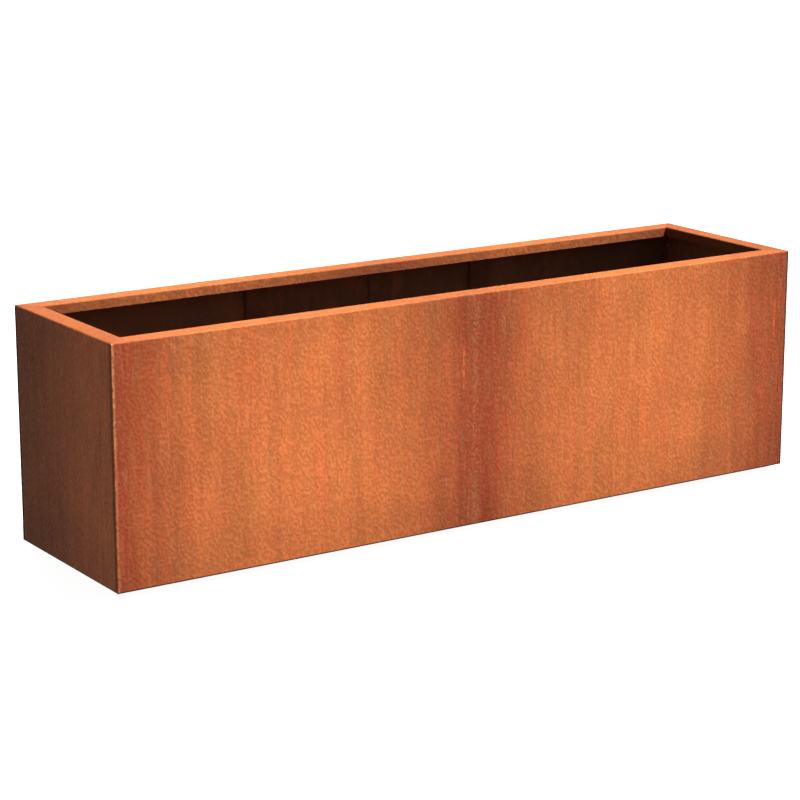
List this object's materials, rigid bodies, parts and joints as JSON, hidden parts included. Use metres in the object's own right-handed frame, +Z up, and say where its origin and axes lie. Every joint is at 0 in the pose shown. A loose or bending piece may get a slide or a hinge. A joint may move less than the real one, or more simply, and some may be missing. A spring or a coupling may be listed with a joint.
{
  "type": "planter box",
  "caption": "Long open-topped planter box of folded and welded weathering steel, with a flat inturned rim, inner stiffening channels, bolted cross ties, a drained floor and low feet.",
  "frame": {"origin": "middle of the footprint, on the ground under the feet", "axes": "+X along the length, +Y from the front wall to the rear wall, +Z up"},
  "size_m": [2, 0.5, 0.6],
  "materials": {
    "wall_sheet": "matte",
    "inner_steel": "matte",
    "weld_metal": "matte",
    "plated_fasteners": "satin"
  },
  "bodies": {
    "root": {"front_wall_left": "wall_sheet", "front_wall_right": "wall_sheet", "rear_wall_left": "wall_sheet", "rear_wall_right": "wall_sheet", "left_end_wall": "wall_sheet", "right_end_wall": "wall_sheet", "front_seam_weld": "weld_metal", "rear_seam_weld": "weld_metal", "inside_corner_welds": "weld_metal", "floor_sheet_left": "inner_steel", "floor_sheet_right": "inner_steel", "floor_bearer_left": "inner_steel", "floor_bearer_centre": "inner_steel", "floor_bearer_right": "inner_steel", "front_stiffener_left": "inner_steel", "front_stiffener_right": "inner_steel", "rear_stiffener_left": "inner_steel", "rear_stiffener_right": "inner_steel", "cross_tie_left": "inner_steel", "cross_tie_right": "inner_steel", "tie_bolts": "plated_fasteners", "tie_washers": "plated_fasteners", "tie_threaded_inserts": "plated_fasteners", "foot_front_1": "inner_steel", "foot_front_2": "inner_steel", "foot_front_3": "inner_steel", "foot_front_4": "inner_steel", "foot_rear_1": "inner_steel", "foot_rear_2": "inner_steel", "foot_rear_3": "inner_steel", "foot_rear_4": "inner_steel"}
  },
  "joints": []
}
